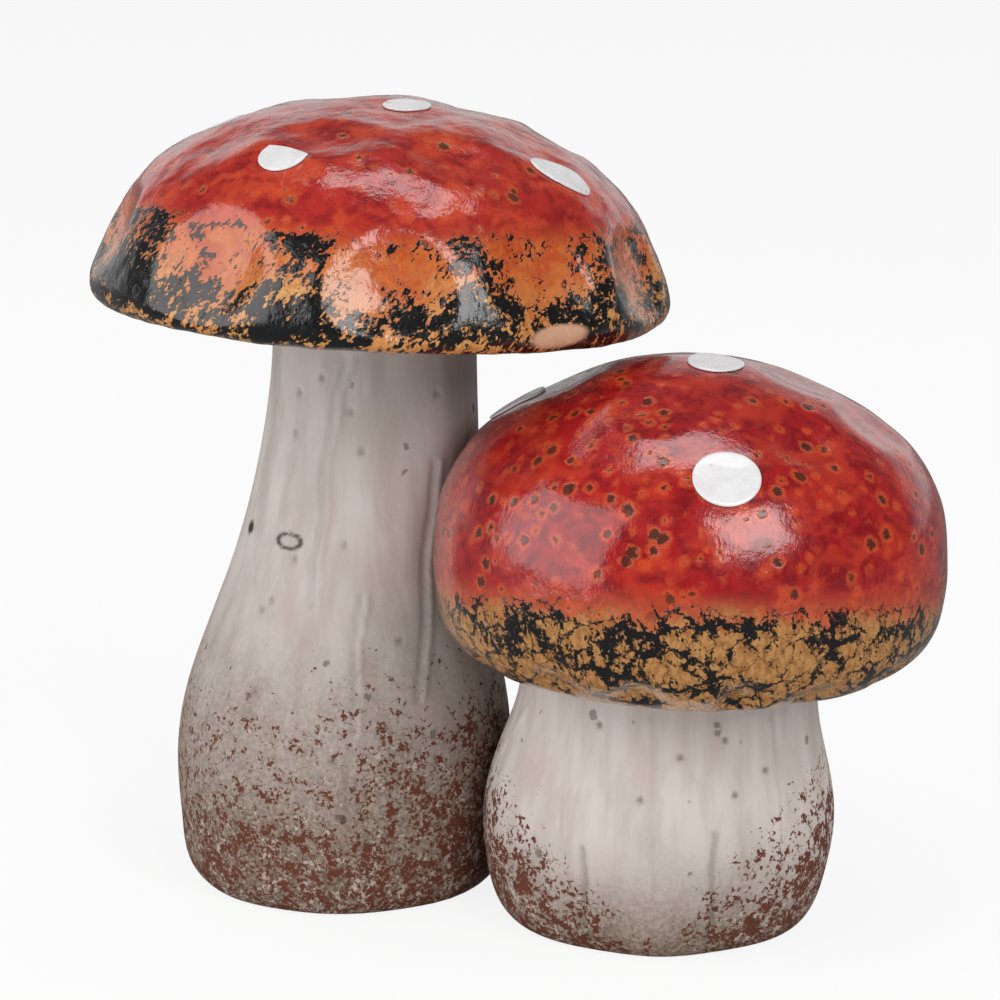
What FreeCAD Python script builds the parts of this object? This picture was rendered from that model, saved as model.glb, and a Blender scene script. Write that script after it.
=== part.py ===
import FreeCAD, Part
import math
import os
import Sketcher

Vector = FreeCAD.Vector
Placement = FreeCAD.Placement
Rotation = FreeCAD.Rotation
up = Vector(0, 0, 1)

# Driving sizes: lengths in millimetres, angles in degrees.
driving_sizes = {
    # Castings, and the slip that joins them
    "stem_wall": 5.0,
    "stem_floor": 6.0,
    "cap_wall": 7.0,
    "slip": 1.0,
    "slip_bead": 2.0,
    "neck_stand": 3.0,
    "vent_radius": 5.0,
    "overrun": 2.0,
    # Tall mushroom
    "tall_foot_x": -39.7,
    "tall_foot_y": 5.7,
    "tall_rise": 136.0,
    "tall_bulge": 40.0,
    "tall_neck": 24.0,
    "tall_lean_right": 8.0,
    "tall_lean_back": 8.0,
    "tall_cap_radius": 67.0,
    "tall_cap_height": 47.8,
    "tall_cap_right": 0.8,
    "tall_cap_tilt": 4.5,
    "tall_cap_tilt_towards": 50.0,
    "tall_dab": 7.6,
    # Small mushroom
    "small_bulge": 41.2,
    "small_neck": 34.0,
    "small_lean_right": 2.4,
    "small_lean_back": -0.6,
    "small_cap_radius": 58.0,
    "small_cap_height": 72.8,
    "small_cap_tilt": 2.5,
    "small_cap_tilt_towards": 58.0,
    "small_dab": 9.2,
    # How the pair presses together
    "stem_press": 2.5,
    "stem_bearing": -20.9,
    "cap_press": 4.05,
    "cap_bearing": -25.3,
    "crown_gap": 4.6,
    # Dents of the rim, the dome and the lip, and the hand-trimmed flutes of the stems
    "rim_press_radius": 49.0,
    "rim_press_depth": 4.0,
    "dome_press_radius": 130.0,
    "dome_press_depth": 1.4,
    "lip_press_radius": 16.0,
    "lip_press_depth": 1.8,
    "flute_depth": 1.8,
    # Enamel dabs
    "dab_thickness": 2.0,
    "dab_proud": 0.8,
}

# Sizes that follow from the driving ones.
derived_sizes = {
    # The small crown stays just under the rim of the tall cap.
    "small_rise": "tall_rise - crown_gap - small_cap_height",
    "tall_hole": "tall_neck + slip",
    "small_hole": "small_neck + slip",
}

# Sections of a stem from the foot up, as shares: height, swell from neck to bulge, lean, flute depth.
tall_section_shares = (
    (0.0, 0.72, 0.0, 0.9), (0.022, 0.86, 0.0, 0.9), (0.088, 0.95, 0.0, 0.8), (0.2, 1.0, 0.0, 0.7),
    (0.31, 0.925, 0.06, 0.8), (0.4, 0.74, 0.15, 1.0), (0.57, 0.34, 0.45, 0.8),
    (0.745, 0.125, 0.8, 0.6), (0.875, 0.02, 0.94, 0.3), (1.0, 0.0, 1.0, 0.0),
)
small_section_shares = (
    (0.0, 0.04, 0.0, 1.2), (0.05, 0.46, 0.0, 1.2), (0.2, 0.86, 0.08, 1.1), (0.4, 1.0, 0.2, 0.7),
    (0.65, 0.62, 0.4, 0.6), (0.85, 0.14, 0.8, 0.3), (1.0, 0.0, 1.0, 0.0),
)
neck_lean_share = 1.05

# Depth of the flutes round a stem, at even turns from the front towards the right.
tall_flute_shares = (
    0.2, 0.9, 0.0, 0.3, 0.2, 0.9, 0.1, 0.7, 0.0, 0.9, 0.2, 0.7, 0.0, 0.8, 0.1, 0.8,
)
small_flute_shares = (
    0.0, 1.0, 0.1, 0.2, 0.9, 0.1, 0.8, 0.0, 0.3, 1.0, 0.1, 0.1, 0.3, 0.1, 0.2, 1.0,
)

# Outline of a cap from the crown down its side to the middle of the underside, as shares of its
# radius and height. An arc is given by its middle and its end, a line by its end.
tall_outline_shares = (
    ((0.0, 1.0),), ((0.24, 0.975), (0.47, 0.9)), ((0.727, 0.715), (0.92, 0.42)),
    ((0.978, 0.25), (1.015, 0.08)), ((0.994, -0.008), (0.925, -0.032)), ((0.5, 0.05),), ((0.0, 0.05),),
)
small_outline_shares = (
    ((0.0, 1.0),), ((0.405, 0.938), (0.77, 0.783)), ((0.937, 0.625), (1.003, 0.42)),
    ((1.006, 0.33), (0.992, 0.22)), ((0.925, 0.106), (0.79, 0.038)), ((0.593, 0.0),), ((0.0, 0.03),),
)
heart_share = 0.2  # height in a cap of the point that its elevations are taken from
belt_share = 0.4  # height of the widest place of the small cap

# Dents: azimuth from the front towards the right, and elevation, both seen from the cap's heart.
tall_rim_dents = (
    (-80, 5), (-35, 4), (3, 3), (37, 5), (69, 3), (104, 5), (140, 4), (176, 3), (212, 5), (246, 4),
)
tall_dome_dents = (
    (-62, 36), (-18, 45), (22, 38), (60, 40), (98, 37), (136, 44), (172, 36), (214, 42),
    (256, 40), (0, 68), (118, 66), (238, 70),
)
small_dome_dents = (
    (-58, 40), (-20, 62), (34, 52), (78, 48), (88, 66), (128, 44), (172, 52), (218, 46), (262, 60),
)
small_lip_dents = (
    (-64, -10), (-36, -8), (-13, -9), (10, -7), (31, -10), (57, -8), (88, -9), (122, -8),
    (155, -10), (187, -8), (222, -9), (256, -10),
)

# Enamel dabs: name, azimuth, elevation and turn in degrees, and the shares of length and width.
tall_dabs_and_shares = (
    ("front_left", -32, 34, 0, 0.95, 0.85), ("front_right", 58, 28, -35, 1.1, 0.8),
    ("crown", 40, 80, 0, 1.0, 0.9), ("right", 128, 26, 20, 1.0, 0.85),
    ("back", 172, 30, -10, 1.1, 0.9), ("left", 242, 32, 30, 1.0, 0.8),
)
small_dabs_and_shares = (
    ("front", 6, 40, 10, 1.0, 0.95), ("crown", 55, 84, 0, 1.0, 0.8), ("left", 260, 52, 0, 0.9, 0.8),
    ("right", 118, 36, -20, 1.0, 0.9), ("back", 182, 42, 15, 1.05, 0.9),
)

section_shares = {"tall": tall_section_shares, "small": small_section_shares}
flute_shares = {"tall": tall_flute_shares, "small": small_flute_shares}
outline_shares = {"tall": tall_outline_shares, "small": small_outline_shares}

doc = FreeCAD.newDocument("mushroom_pair")
sheet = doc.addObject("Spreadsheet::Sheet", "Sizes")
cells = {name: str(value) for name, value in driving_sizes.items()}
cells.update({name: "=" + formula for name, formula in derived_sizes.items()})
for row, (name, content) in enumerate(cells.items(), 1):
    sheet.set(f"A{row}", name)
    sheet.set(f"B{row}", content)
    sheet.setAlias(f"B{row}", name)
doc.recompute()


def size(name):
    return float(sheet.get(name))


def value(expression):
    return float(sheet.evalExpression(expression))


def bind(target, expressions):
    for path, expression in expressions.items():
        target.setExpression(path, expression)


def joined(kind, name, base, tool):
    result = doc.addObject(kind, name)
    result.Base = base
    result.Tool = tool
    doc.recompute()
    return result


def cut(name, base, tool):
    return joined("Part::Cut", name, base, tool)


def new_sketch(body, name, role):
    sketch = body.newObject("Sketcher::SketchObject", name)
    plane = next(part for part in body.Origin.OriginFeatures if part.Role == role)
    sketch.AttachmentSupport = [(plane, "")]
    sketch.MapMode = "FlatFace"
    return sketch


def hold_point(sketch, element, point, place):
    # Holds a point of a sketch at two expressions, measured from the sketch's origin.
    for direction, expression in zip(("DistanceX", "DistanceY"), place):
        held = sketch.addConstraint(
            Sketcher.Constraint(direction, -1, 1, element, point, value(expression)))
        sketch.setExpression(f"Constraints[{held}]", expression)


def spot(place):
    return Vector(value(place[0]), value(place[1]), 0)


def circle_sketch(body, name, radius, offsets):
    sketch = new_sketch(body, name, "XY_Plane")
    circle = sketch.addGeometry(Part.Circle(Vector(), up, value(radius)), False)
    sketch.addConstraint(Sketcher.Constraint("Coincident", circle, 3, -1, 1))
    held = sketch.addConstraint(Sketcher.Constraint("Radius", circle, value(radius)))
    sketch.setExpression(f"Constraints[{held}]", radius)
    bind(sketch, {f"AttachmentOffset.Base.{axis}": offset for axis, offset in offsets.items()})
    return sketch


def fluted_sketch(body, name, radius, offsets, flutes, depth_share):
    # A closed curve round the stem, pulled in at each flute by its control points.
    sketch = new_sketch(body, name, "XY_Plane")
    step = 2 * math.pi / len(flutes)
    reach = 3 / (2 + math.cos(step))  # control points of a round curve of radius 1 lie this far out
    places = []
    for index, flute in enumerate(flutes):
        pulled = f"({radius} - Sizes.flute_depth * {flute * depth_share:.3f})"
        across, along = reach * math.sin(index * step), -reach * math.cos(index * step)
        places.append((f"{pulled} * {across:.6f}", f"{pulled} * {along:.6f}"))
    curve = Part.BSplineCurve()
    knots = list(range(len(places) + 1))
    curve.buildFromPolesMultsKnots([spot(place) for place in places], [1] * len(knots), knots, True, 3)
    outline = sketch.addGeometry(curve, False)
    for index, place in enumerate(places):
        knob = sketch.addGeometry(Part.Circle(spot(place), up, 1), True)
        sketch.addConstraint(Sketcher.Constraint(
            "InternalAlignment:Sketcher::BSplineControlPoint", knob, 3, outline, index))
        sketch.addConstraint(Sketcher.Constraint("Weight", knob, 1.0))
        hold_point(sketch, knob, 3, place)
    bind(sketch, {f"AttachmentOffset.Base.{axis}": offset for axis, offset in offsets.items()})
    return sketch


def outline_sketch(body, name, shares, radius, height, lift):
    # Half outline of a turned form in arcs and lines, run clockwise and closed on the axis.
    sketch = new_sketch(body, name, "XZ_Plane")
    steps = [[(f"({radius}) * {across}", f"{lift} + ({height}) * {along}") for across, along in step]
             for step in shares]
    joints = []
    for before, step in zip(steps, steps[1:]):
        start, end = spot(before[-1]), spot(step[-1])
        if len(step) == 2:
            piece = sketch.addGeometry(Part.Arc(start, spot(step[0]), end), False)
            turns_left = (end - start).cross(spot(step[0]) - start).z < 0
            first, last = (1, 2) if turns_left else (2, 1)
            middle = sketch.addGeometry(Part.Point(spot(step[0])), True)
            hold_point(sketch, middle, 1, step[0])
            sketch.addConstraint(Sketcher.Constraint("PointOnObject", middle, 1, piece))
        else:
            piece = sketch.addGeometry(Part.LineSegment(start, end), False)
            first, last = 1, 2
        joints.append((piece, first, last))
        hold_point(sketch, piece, last, step[-1])
    axis = sketch.addGeometry(Part.LineSegment(spot(steps[-1][-1]), spot(steps[0][0])), False)
    joints.append((axis, 1, 2))
    hold_point(sketch, axis, 2, steps[0][0])
    for (piece, _, last), (following, first, _) in zip(joints, joints[1:] + joints[:1]):
        sketch.addConstraint(Sketcher.Constraint("Coincident", piece, last, following, first))
    return sketch


def turn_outline(body, kind, name, sketch):
    feature = body.newObject(kind, name)
    feature.Profile = sketch
    feature.ReferenceAxis = (sketch, ["V_Axis"])
    feature.Angle = 360
    doc.recompute()


def outward(azimuth, elevation):
    turn, climb = math.radians(azimuth), math.radians(elevation)
    level = math.cos(climb)
    return Vector(math.sin(turn) * level, -math.cos(turn) * level, math.sin(climb))


def skin_point(shape, start, direction):
    # Outermost point of a solid along a ray from inside its outline, and the outward normal there.
    ray = Part.LineSegment(start, start + direction * shape.BoundBox.DiagonalLength)
    met = []
    for face in shape.Faces:
        for crossing in ray.intersectCS(face.Surface)[0]:
            point = Vector(crossing.X, crossing.Y, crossing.Z)
            place = face.Surface.parameter(point)
            if face.isPartOfDomain(*place):
                met.append(((point - start).Length, point, face.normalAt(*place)))
    _, point, normal = max(met, key=lambda entry: entry[0])
    return point, normal if normal.dot(direction) > 0 else normal.negative()


def skin_point_from_heart(shape, seat, kind, azimuth, elevation):
    # The place on a cap's skin that its heart sees in one direction.
    heart = seat.multVec(up * size(f"{kind}_cap_height") * heart_share)
    return skin_point(shape, heart, seat.Rotation.multVec(outward(azimuth, elevation)))


def underside_share(kind):
    return outline_shares[kind][-1][-1][1]


def neck_reach(kind):
    # How far a neck stands above the base of its cap: through the underside and into the hollow.
    rise_share = underside_share(kind)
    inner = f"Sizes.cap_wall + (Sizes.{kind}_cap_height - 2 * Sizes.cap_wall) * {rise_share}"
    return f"{inner} + Sizes.neck_stand"


def stem_sections(kind, end):
    sections = [(f"Sizes.{kind}_rise * {height}", swell, lean, depth)
                for height, swell, lean, depth in section_shares[kind]]
    _, neck_swell, _, neck_depth = section_shares[kind][-1]
    return sections + [(f"Sizes.{kind}_rise + {end}", neck_swell, neck_lean_share, neck_depth)]


def loft_stem(body, kind, feature_kind, name, sections, growth, draw):
    sketches = []
    for index, (height, swell, lean, depth) in enumerate(sections):
        radius = f"Sizes.{kind}_neck + (Sizes.{kind}_bulge - Sizes.{kind}_neck) * {swell} + {growth}"
        offsets = {
            "x": f"Sizes.{kind}_lean_right * {lean}",
            "y": f"Sizes.{kind}_lean_back * {lean}",
            "z": height,
        }
        sketches.append(draw(f"{name}_section_{index}", radius, offsets, depth))
    loft = body.newObject(feature_kind, name)
    loft.Profile = sketches[0]
    loft.Sections = sketches[1:]
    doc.recompute()


def stem_blank(kind, name, growth, foot):
    body = doc.addObject("PartDesign::Body", name)
    body.Placement = Placement(foot, Rotation())

    def draw(label, radius, offsets, depth):
        return fluted_sketch(body, label, radius, offsets, flute_shares[kind], depth)
    sections = stem_sections(kind, neck_reach(kind))
    loft_stem(body, kind, "PartDesign::AdditiveLoft", f"{name}_form", sections, growth, draw)
    return body


def make_stem(kind, name, foot):
    # The hollow is open at the neck, and the kiln's vent goes through the floor of the foot.
    body = stem_blank(kind, name, "0", foot)

    def draw(label, radius, offsets, depth):
        return circle_sketch(body, label, radius, offsets)
    sections = stem_sections(kind, f"{neck_reach(kind)} + Sizes.overrun")[1:]
    sections[0] = ("Sizes.stem_floor",) + sections[0][1:]
    loft_stem(body, kind, "PartDesign::SubtractiveLoft", f"{kind}_hollow", sections,
              "-Sizes.stem_wall", draw)
    vent = body.newObject("PartDesign::Pocket", f"{kind}_vent")
    vent.Profile = circle_sketch(body, f"{kind}_vent_circle", "Sizes.vent_radius", {})
    vent.Reversed = True
    bind(vent, {"Length": "Sizes.stem_floor + Sizes.overrun"})
    doc.recompute()
    return body


def neck_centre(kind, foot):
    lean = Vector(size(f"{kind}_lean_right"), size(f"{kind}_lean_back"), size(f"{kind}_rise"))
    return foot + lean


def cap_seat(kind, base):
    towards = math.radians(size(f"{kind}_cap_tilt_towards"))
    hinge = Vector(-math.sin(towards), math.cos(towards), 0)
    return Placement(base, Rotation(hinge, size(f"{kind}_cap_tilt")))


def make_cap(kind, name, hole_place):
    body = doc.addObject("PartDesign::Body", name)
    shares = outline_shares[kind]
    radius = f"Sizes.{kind}_cap_radius"
    height = f"Sizes.{kind}_cap_height"
    outer = outline_sketch(body, f"{kind}_cap_outline", shares, radius, height, "0")
    turn_outline(body, "PartDesign::Revolution", f"{kind}_cap_form", outer)
    core = outline_sketch(body, f"{kind}_cap_core", shares, f"{radius} - Sizes.cap_wall",
                          f"{height} - 2 * Sizes.cap_wall", "Sizes.cap_wall")
    turn_outline(body, "PartDesign::Groove", f"{kind}_cap_hollow", core)
    hole = body.newObject("PartDesign::Pocket", f"{kind}_cap_hole")
    hole.Profile = circle_sketch(body, f"{kind}_cap_hole_circle", f"Sizes.{kind}_hole",
                                 {"z": "-Sizes.overrun"})
    hole.Profile[0].AttachmentOffset.Base = hole_place
    hole.Reversed = True
    bind(hole, {"Length": f"{neck_reach(kind)} + Sizes.overrun"})
    doc.recompute()
    return body


def dent_cap(body, kind, label, dents):
    # Each dent is the mark of a ball pushed in square to the skin.
    radius, depth = f"{label}_press_radius", f"{label}_press_depth"
    plain = body.Shape.copy()
    for index, (azimuth, elevation) in enumerate(dents):
        point, normal = skin_point_from_heart(plain, Placement(), kind, azimuth, elevation)
        ball = body.newObject("PartDesign::SubtractiveSphere", f"{kind}_{label}_dent_{index}")
        ball.Refine = False
        bind(ball, {"Radius": f"Sizes.{radius}"})
        ball.Placement = Placement(point + normal * (size(radius) - size(depth)), Rotation())
    doc.recompute()


def neck_slip(kind, seat, hole_place, stem, cap):
    # Slip between a neck and its hole, with a bead wiped round the neck under the cap.
    underside = size(f"{kind}_cap_height") * underside_share(kind)
    low = Vector(hole_place.x, hole_place.y, underside - size("slip_bead"))
    lower = low - up * size("overrun")
    blanks = (
        ("sleeve", "Part::Cylinder", low, {
            "Radius": f"Sizes.{kind}_hole",
            "Height": f"{neck_reach(kind)} - Sizes.neck_stand"}),
        ("bead", "Part::Cone", low, {
            "Radius1": f"Sizes.{kind}_hole",
            "Radius2": f"Sizes.{kind}_hole + 2 * Sizes.slip_bead",
            "Height": "2 * Sizes.slip_bead"}),
        ("bore", "Part::Cylinder", lower, {
            "Radius": f"Sizes.{kind}_neck - Sizes.stem_wall / 2",
            "Height": f"{neck_reach(kind)} + 2 * Sizes.overrun"}),
    )
    made = {}
    for label, primitive, place, expressions in blanks:
        made[label] = doc.addObject(primitive, f"{kind}_slip_{label}")
        bind(made[label], expressions)
        made[label].Placement = seat.multiply(Placement(place, Rotation()))
    whole = joined("Part::Fuse", f"{kind}_slip_whole", made["sleeve"], made["bead"])
    ring = cut(f"{kind}_slip_ring", whole, made["bore"])
    return cut(f"{kind}_neck_slip", cut(f"{kind}_slip_on_neck", ring, stem), cap)


def make_dab(kind, cap, seat, entry):
    label, azimuth, elevation, turn, length_share, width_share = entry
    point, normal = skin_point_from_heart(cap.Shape, seat, kind, azimuth, elevation)
    drop = doc.addObject("Part::Ellipsoid", f"{kind}_{label}_drop")
    bind(drop, {
        "Radius1": "Sizes.dab_thickness",
        "Radius2": f"Sizes.{kind}_dab * {length_share}",
        "Radius3": f"Sizes.{kind}_dab * {width_share}",
    })
    sunk = size("dab_thickness") - size("dab_proud")
    across = up.cross(normal)
    lie = Rotation(across, normal.cross(across), normal, "ZXY").multiply(Rotation(up, turn))
    drop.Placement = Placement(point - normal * sunk, lie)
    return cut(f"{kind}_cap_dab_{label}", drop, cap)


# The tall mushroom stands first, and the small one is pressed against it.
tall_foot = Vector(size("tall_foot_x"), size("tall_foot_y"), 0)
bearing = math.radians(size("stem_bearing"))
spacing = size("tall_bulge") + size("small_bulge") - size("stem_press")
small_foot = tall_foot + Vector(math.cos(bearing), math.sin(bearing), 0) * spacing

tall_stem = make_stem("tall", "tall_stem", tall_foot)
tall_jacket = stem_blank("tall", "tall_jacket", "Sizes.slip", tall_foot)
small_casting = make_stem("small", "small_casting", small_foot)
small_stem = cut("small_stem", small_casting, tall_jacket)
stem_pad = joined("Part::Common", "stem_pad", small_casting, tall_jacket)
stem_slip = cut("stem_slip", stem_pad, tall_stem)

tall_neck = neck_centre("tall", tall_foot)
tall_seat = cap_seat("tall", tall_neck + Vector(size("tall_cap_right"), 0, 0))
tall_hole = tall_seat.inverse().multVec(tall_neck)
tall_cap = make_cap("tall", "tall_cap", tall_hole)
dent_cap(tall_cap, "tall", "rim", tall_rim_dents)
dent_cap(tall_cap, "tall", "dome", tall_dome_dents)
tall_cap.Placement = tall_seat
doc.recompute()

# The small cap is pushed in until the first place of its outline has pressed into the tall stem,
# which sets how far the cap sits off its own stem.
side = math.radians(size("cap_bearing"))
aim = Vector(math.cos(side), math.sin(side), 0)
belt_height = size("small_rise") + size("small_cap_height") * belt_share
belt_axis = tall_foot + (tall_neck - tall_foot) * (belt_height / size("tall_rise"))
stands = []
for across, along in (place for step in small_outline_shares for place in step):
    start = Vector(belt_axis.x, belt_axis.y, size("small_rise") + size("small_cap_height") * along)
    meeting, _ = skin_point(tall_jacket.Shape, start, aim)
    stands.append((meeting - start).Length + size("small_cap_radius") * across)
small_base = belt_axis + aim * (max(stands) - size("slip") - size("cap_press"))
small_base.z = size("small_rise")
small_neck = neck_centre("small", small_foot)
small_seat = cap_seat("small", small_base)
small_hole = small_seat.inverse().multVec(small_neck)
cap_casting = make_cap("small", "cap_casting", small_hole)
dent_cap(cap_casting, "small", "dome", small_dome_dents)
dent_cap(cap_casting, "small", "lip", small_lip_dents)
cap_casting.Placement = small_seat
doc.recompute()
small_cap = cut("small_cap", cap_casting, tall_jacket)
cap_pad = joined("Part::Common", "cap_pad", cap_casting, tall_jacket)
cap_slip = cut("cap_slip", cap_pad, tall_stem)

nodes = [tall_stem, tall_cap, small_stem, small_cap, stem_slip, cap_slip]
nodes.append(neck_slip("tall", tall_seat, tall_hole, tall_stem, tall_cap))
nodes.append(neck_slip("small", small_seat, small_hole, small_stem, small_cap))
nodes.extend(make_dab("tall", tall_cap, tall_seat, entry) for entry in tall_dabs_and_shares)
nodes.extend(make_dab("small", small_cap, small_seat, entry) for entry in small_dabs_and_shares)
doc.recompute()

for item in doc.Objects:
    if "Invalid" in item.State or "Error" in item.State:
        raise RuntimeError(f"{item.Label} did not build: {item.State}")
for node in nodes:
    if node.Shape.isNull() or not node.Shape.isValid() or not node.Shape.Solids:
        raise RuntimeError(f"{node.Label} is not a valid solid")

os.makedirs("parts", exist_ok=True)
whole = FreeCAD.BoundBox()
for node in nodes:
    node.Shape.exportStep(f"parts/{node.Label}.step")
    whole.add(node.Shape.BoundBox)
    print(node.Label, len(node.Shape.Solids), round(node.Shape.Volume))
print(whole)
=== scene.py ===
import math
import bpy
import numpy as np
from mathutils import Matrix, Vector


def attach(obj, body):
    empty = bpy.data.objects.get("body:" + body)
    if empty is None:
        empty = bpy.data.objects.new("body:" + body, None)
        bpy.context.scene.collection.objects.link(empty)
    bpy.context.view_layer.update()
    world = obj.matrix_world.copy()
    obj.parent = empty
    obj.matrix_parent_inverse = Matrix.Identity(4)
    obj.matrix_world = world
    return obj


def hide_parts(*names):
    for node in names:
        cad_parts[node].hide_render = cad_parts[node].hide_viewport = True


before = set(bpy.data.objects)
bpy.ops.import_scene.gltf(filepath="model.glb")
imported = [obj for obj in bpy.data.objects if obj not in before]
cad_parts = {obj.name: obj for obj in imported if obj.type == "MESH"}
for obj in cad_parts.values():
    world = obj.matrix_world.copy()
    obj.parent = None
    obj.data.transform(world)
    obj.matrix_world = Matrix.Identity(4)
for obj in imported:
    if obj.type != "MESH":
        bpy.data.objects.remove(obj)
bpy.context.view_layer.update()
mm = 0.001
print("frame loaded")

# Camera, at the photograph's place
cameraSetup = {
    "target": Vector((-2.7, -11.9, 95.0)) * mm,
    "distance": 0.95,
    "elevation": 15.0,
    "lens": 148.75,
    "sensor": 36.0,
    "picture": 1000,
}


def setUpCamera(setup):
    climb = math.radians(setup["elevation"])
    back = Vector((0, -math.cos(climb), math.sin(climb)))
    bpy.ops.object.camera_add(location=setup["target"] + back * setup["distance"])
    camera = bpy.context.object
    camera.name = "photoCamera"
    camera.rotation_euler = (-back).to_track_quat("-Z", "Y").to_euler()
    camera.data.lens = setup["lens"]
    camera.data.sensor_width = setup["sensor"]
    bpy.context.scene.camera = camera
    bpy.context.view_layer.update()
    return camera


camera = setUpCamera(cameraSetup)


# Small tools for selecting and shaping
def letGo():
    if bpy.context.object and bpy.context.object.mode != "OBJECT":
        bpy.ops.object.mode_set(mode="OBJECT")
    bpy.ops.object.select_all(action="DESELECT")


def pick(piece):
    letGo()
    piece.select_set(True)
    bpy.context.view_layer.objects.active = piece


def places(piece):
    found = np.empty(len(piece.data.vertices) * 3)
    piece.data.vertices.foreach_get("co", found)
    return found.reshape(-1, 3)


def faceFacts(piece, fact):
    found = np.empty(len(piece.data.polygons) * 3)
    piece.data.polygons.foreach_get(fact, found)
    return found.reshape(-1, 3)


def choose(piece, kind, chosen):
    pick(piece)
    bpy.ops.object.mode_set(mode="EDIT")
    bpy.ops.mesh.select_mode(type=kind)
    bpy.ops.mesh.select_all(action="DESELECT")
    bpy.ops.object.mode_set(mode="OBJECT")
    parts = piece.data.vertices if kind == "VERT" else piece.data.polygons
    parts.foreach_set("select", np.asarray(chosen, bool))
    bpy.ops.object.mode_set(mode="EDIT")


def copyOfNode(node, name):
    pick(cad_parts[node])
    bpy.ops.object.duplicate()
    piece = bpy.context.object
    for key in list(piece.keys()):
        del piece[key]
    piece.parent = None
    piece.name = name
    piece.data.name = name
    piece.data.materials.clear()
    bpy.ops.object.mode_set(mode="EDIT")
    bpy.ops.mesh.select_all(action="SELECT")
    bpy.ops.mesh.remove_doubles(threshold=0.002 * mm)
    bpy.ops.object.mode_set(mode="OBJECT")
    return piece


def finishWith(piece, kind, **settings):
    pick(piece)
    modifier = piece.modifiers.new(kind.lower(), kind)
    for name, value in settings.items():
        setattr(modifier, name, value)
    bpy.ops.object.modifier_apply(modifier=modifier.name)


def directionOf(azimuth, elevation):
    # Azimuth from the front towards the right, elevation upwards
    turn, climb = math.radians(azimuth), math.radians(elevation)
    return Vector((math.sin(turn) * math.cos(climb), -math.cos(turn) * math.cos(climb), math.sin(climb)))


def axesOn(normal):
    # Level across the skin, up along it, and out of it
    across = Vector((0, 0, 1)).cross(normal).normalized()
    return across, normal.cross(across), normal


def skinAt(piece, pixel):
    # Where the line of sight through a pixel of the picture meets a piece, and the normal there
    half = cameraSetup["picture"] / 2
    focal = cameraSetup["lens"] / cameraSetup["sensor"] * cameraSetup["picture"]
    aim = Vector(((pixel[0] - half) / focal, (half - pixel[1]) / focal, -1))
    aim = (camera.matrix_world.to_3x3() @ aim).normalized()
    hit, place, normal, _ = piece.ray_cast(camera.matrix_world.translation, aim)
    if not hit:
        raise RuntimeError(f"{piece.name} isn't seen at {pixel}")
    return place, normal


heartOverBase, wellOutside = 10 * mm, 0.3


def skinFrom(piece, seat, azimuth, elevation):
    # The skin that lies in a direction from the heart of a cap, met from well outside
    aim = seat.to_3x3() @ directionOf(azimuth, elevation)
    heart = seat.translation + seat.to_3x3() @ Vector((0, 0, heartOverBase))
    _, place, normal, _ = piece.ray_cast(heart + aim * wellOutside, -aim)
    return place, normal


def press(piece, spots, depth, reach):
    # Pushes the skin in round each spot, or out where the depth is negative
    skin = places(piece)
    chosen = np.zeros(len(skin), bool)
    for spot in spots:
        chosen[np.argmin(((skin - np.array(spot)) ** 2).sum(1))] = True
    choose(piece, "VERT", chosen)
    bpy.ops.transform.shrink_fatten(value=-depth, use_proportional_edit=True,
                                    proportional_edit_falloff="SMOOTH", proportional_size=reach)
    bpy.ops.object.mode_set(mode="OBJECT")


def lineAlong(spots, step=0.5 * mm):
    line = []
    for start, end in zip(spots, spots[1:]):
        count = max(2, int((end - start).length / step))
        line += [start.lerp(end, i / count) for i in range(count)]
    return line + [spots[-1]]


# Hollow castings, taken from the frame and skinned anew
def closeOpenings(piece, recesses):
    # Each opening of the shell becomes a blind recess: height range of its edge, and how far it goes in
    for low, high, shift in recesses:
        choose(piece, "VERT", np.zeros(len(piece.data.vertices), bool))
        bpy.ops.mesh.select_non_manifold(extend=False)
        bpy.ops.object.mode_set(mode="OBJECT")
        edge = np.empty(len(piece.data.vertices), bool)
        piece.data.vertices.foreach_get("select", edge)
        height = places(piece)[:, 2]
        choose(piece, "VERT", edge & (height > low) & (height < high))
        bpy.ops.mesh.extrude_region_move(TRANSFORM_OT_translate={"value": shift})
        bpy.ops.mesh.edge_face_add()
        bpy.ops.object.mode_set(mode="OBJECT")


def reskin(piece, voxel, smoothing):
    finishWith(piece, "REMESH", mode="VOXEL", voxel_size=voxel * 1)
    finishWith(piece, "SMOOTH", factor=0.5, iterations=smoothing)


def seatOf(base, tilt, towards):
    towards = math.radians(towards)
    hinge = Vector((-math.sin(towards), math.cos(towards), 0))
    return Matrix.Translation(base) @ Matrix.Rotation(math.radians(tilt), 4, hinge)


def castCap(node, name, settings):
    piece = copyOfNode(node, name)
    seat = seatOf(settings["base"], settings["tilt"], settings["tiltTowards"])
    heart = np.array(seat @ Vector((0, 0, settings["heart"])))
    inward = ((faceFacts(piece, "center") - heart) * faceFacts(piece, "normal")).sum(1) < 0
    choose(piece, "FACE", inward)
    bpy.ops.mesh.delete(type="FACE")
    bpy.ops.object.mode_set(mode="OBJECT")
    upwards = seat.to_3x3() @ Vector((0, 0, settings["socket"]))
    # Only the hole in the underside is closed, because loose edges near the crown aren't openings
    closeOpenings(piece, [(-1, settings["base"].z + settings["underside"], upwards)])
    reskin(piece, settings["voxel"], settings["smoothing"])
    return piece, seat


flatness, endDepth, edgeDepth = 0.9, 0.3 * mm, 1 * mm  # What counts as a flat end of a stem


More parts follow.
